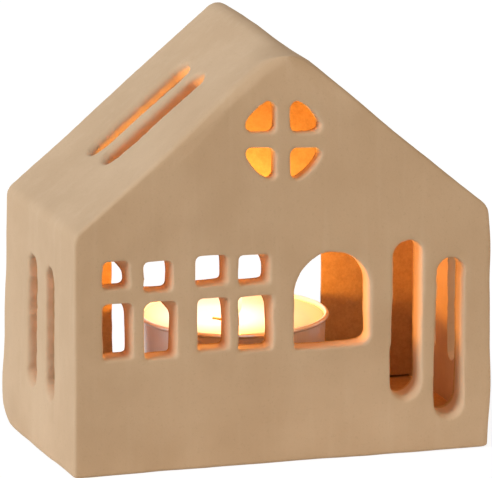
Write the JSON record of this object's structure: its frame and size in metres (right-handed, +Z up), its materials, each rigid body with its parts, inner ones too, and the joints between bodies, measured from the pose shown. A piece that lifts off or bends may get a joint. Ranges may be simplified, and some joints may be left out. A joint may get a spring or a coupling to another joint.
{
  "type": "tealight house",
  "caption": "Small clay house with cut-out windows and slots in its walls and roof, open at the back, with a tealight inside that shines through them.",
  "frame": {"origin": "on the ground, under the middle of the house", "axes": "+X along the front wall to its right, +Y from the front wall to the open back, +Z up"},
  "size_m": [0.088, 0.048, 0.0843],
  "materials": {
    "fired_clay": "matte",
    "cup_aluminium": "satin",
    "candle_wax": "satin",
    "wick_cotton": "matte",
    "tinned_steel": "satin"
  },
  "bodies": {
    "house": {"floor_slab": "fired_clay", "front_wall": "fired_clay", "back_wall": "fired_clay", "left_wall": "fired_clay", "right_wall": "fired_clay", "left_roof": "fired_clay", "right_roof": "fired_clay"},
    "tealight": {"foil_cup": "cup_aluminium"},
    "candle": {"wax": "candle_wax", "wick": "wick_cotton", "wick_sustainer": "tinned_steel"}
  },
  "joints": [
    {"name": "tealight_slide", "type": "slide", "parent": "house", "child": "tealight", "axis": [0, 1, 0], "range_m": [0, 0.06]},
    {"name": "candle_lift", "type": "slide", "parent": "tealight", "child": "candle", "axis": [0, 0, 1], "range_m": [0, 0.0205]}
  ]
}
